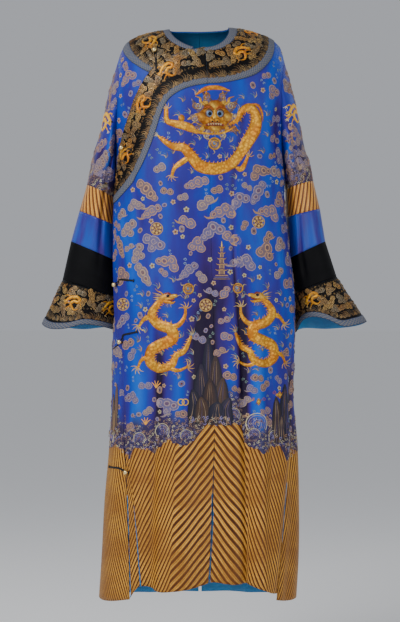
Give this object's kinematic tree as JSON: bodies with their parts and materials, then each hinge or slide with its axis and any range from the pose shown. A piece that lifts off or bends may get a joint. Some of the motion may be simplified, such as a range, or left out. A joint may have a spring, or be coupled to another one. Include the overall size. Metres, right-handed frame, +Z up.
{
  "type": "chinese dragon robe",
  "caption": "Chinese dragon robe (jifu) worn open and hollow, side-closing overlap, collar band, banded sleeves with flared horse-hoof cuffs, vented skirt",
  "frame": {"origin": "middle of the neck opening at shoulder height, where the wearer's shoulders carry the robe", "axes": "+Z up along the robe's length; the wearer faces -Y; +X is the wearer's left"},
  "size_m": [0.8061, 0.3449, 1.4045],
  "materials": {
    "blue_silk": "satin",
    "gold_striped_silk": "satin",
    "plain_blue_silk": "satin",
    "black_silk": "satin",
    "gold_embroidered_black_silk": "satin",
    "grey_blue_braid": "woven",
    "black_cord": "braided"
  },
  "bodies": {
    "root": {"front_left": "blue_silk", "front_overlap": "blue_silk", "underlap": "blue_silk", "underlap_skirt": "blue_silk", "back_left": "blue_silk", "back_right": "blue_silk", "back_right_skirt": "blue_silk", "sleeve_left_upper": "blue_silk", "sleeve_left_stripe": "gold_striped_silk", "sleeve_left_blue": "plain_blue_silk", "sleeve_left_black": "black_silk", "sleeve_left_cuff": "gold_embroidered_black_silk", "cuff_left_trim": "grey_blue_braid", "sleeve_right_upper": "blue_silk", "sleeve_right_stripe": "gold_striped_silk", "sleeve_right_blue": "plain_blue_silk", "sleeve_right_black": "black_silk", "sleeve_right_cuff": "gold_embroidered_black_silk", "cuff_right_trim": "grey_blue_braid", "neck_binding": "grey_blue_braid", "collar_band_neck": "gold_embroidered_black_silk", "collar_trim_neck": "grey_blue_braid", "overlap_binding": "grey_blue_braid", "collar_band_overlap": "gold_embroidered_black_silk", "collar_trim_overlap": "grey_blue_braid", "closure_collarbone": "black_cord", "closure_underarm": "black_cord", "closure_side_upper": "black_cord", "closure_side_middle": "black_cord", "closure_side_lower": "black_cord"}
  },
  "joints": []
}
